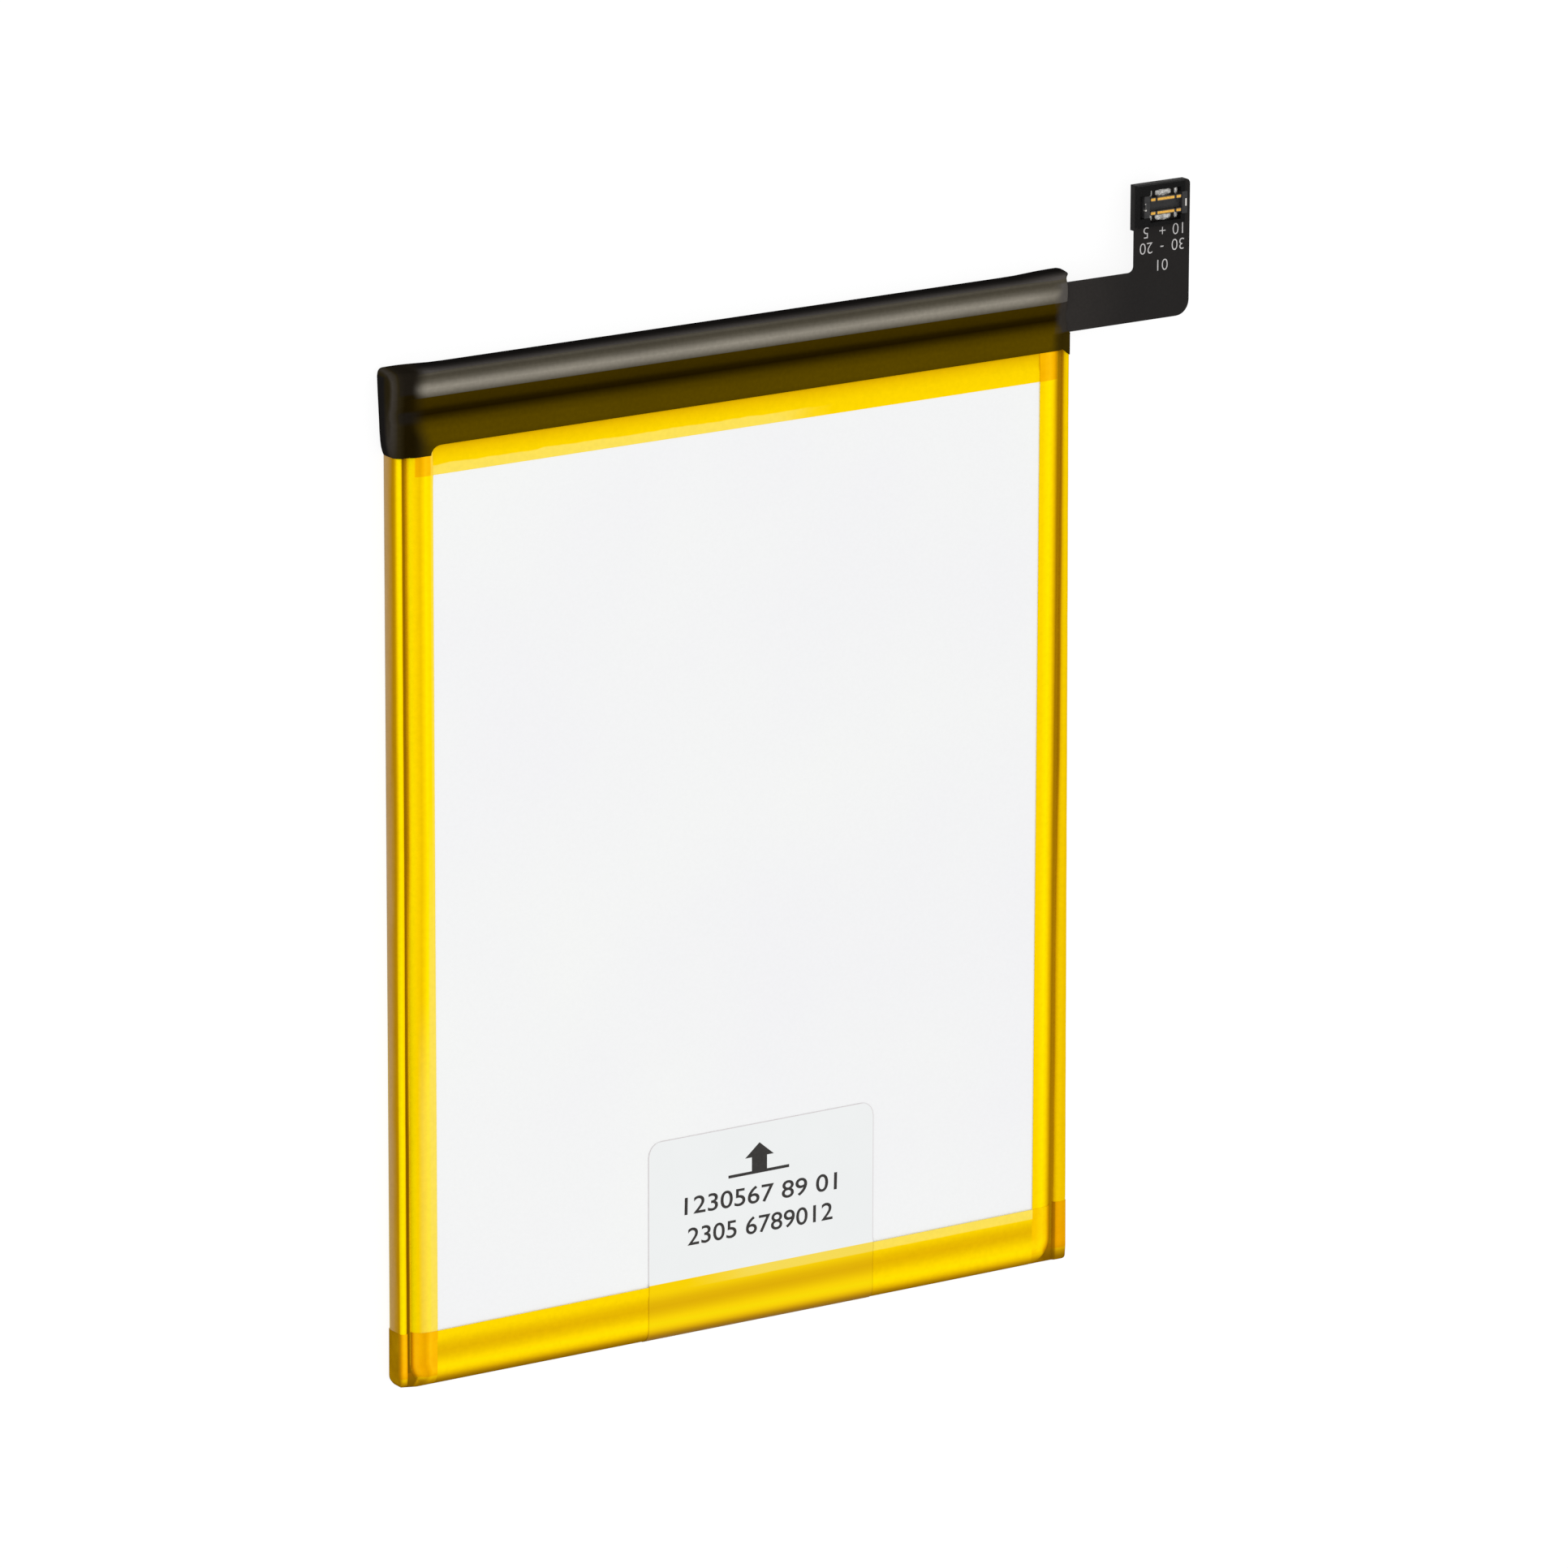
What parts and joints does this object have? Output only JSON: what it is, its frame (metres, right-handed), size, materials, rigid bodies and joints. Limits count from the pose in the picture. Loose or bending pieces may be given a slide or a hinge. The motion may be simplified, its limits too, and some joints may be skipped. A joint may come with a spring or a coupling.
{
  "type": "mobile phone battery",
  "caption": "Flat lithium pouch battery for a mobile phone, with yellow edge tapes, a dark wrapped header, a pull tab and an L-shaped flexible tail with a board connector.",
  "frame": {"origin": "middle of the pack's back face, on the level that it lies on", "axes": "+X across the pack towards the tail, +Y along it towards the wrapped header, +Z out of the labelled face"},
  "size_m": [0.0737, 0.088, 0.0031],
  "materials": {
    "pouch_laminate": "satin silver laminate",
    "label_film": "matte white film",
    "yellow_film": "glossy yellow polyimide tape",
    "dark_film": "dark translucent tape, satin gloss",
    "pull_film": "milky clear film",
    "silver_strip": "bright satin foil",
    "insulator_film": "amber polyimide film",
    "aluminium_tab": "bare rolled foil",
    "nickel": "rolled nickel",
    "seal_polymer": "milky sealing film",
    "board_laminate": "green glass-fibre laminate",
    "chip_body": "black moulding compound",
    "fuse_body": "pale green chip body",
    "sensor_ceramic": "brown ceramic",
    "resistor_glaze": "black glaze",
    "capacitor_ceramic": "tan ceramic",
    "flex_coverlay": "matte black coverlay",
    "stiffener_black": "black laminate",
    "black_foam": "fine black foam",
    "housing_plastic": "black moulded resin",
    "contact_gold": "gold plating",
    "solder": "uneven tin solder"
  },
  "bodies": {
    "root": {"cell_pouch": "pouch_laminate", "front_label": "label_film", "top_tape": "yellow_film", "side_tape_left": "yellow_film", "side_tape_right": "yellow_film", "bottom_tape": "yellow_film", "header_wrap": "dark_film", "pull_tab": "pull_film", "cover_strip": "silver_strip", "terrace_insulator": "insulator_film", "positive_tab": "aluminium_tab", "negative_tab": "nickel", "positive_tab_seal": "seal_polymer", "negative_tab_seal": "seal_polymer", "positive_weld_plate": "nickel", "negative_weld_plate": "nickel", "circuit_board": "board_laminate", "power_switch": "chip_body", "protection_chip": "chip_body", "chip_fuse": "fuse_body", "temperature_sensor": "sensor_ceramic", "chip_resistors": "resistor_glaze", "chip_capacitors": "capacitor_ceramic", "flex_tail": "flex_coverlay", "connector_stiffener": "stiffener_black", "connector_frame": "black_foam", "connector_housing": "housing_plastic", "power_contacts": "contact_gold", "signal_contacts": "contact_gold", "solder_feet": "solder", "hold_down_clips": "solder"}
  },
  "joints": []
}
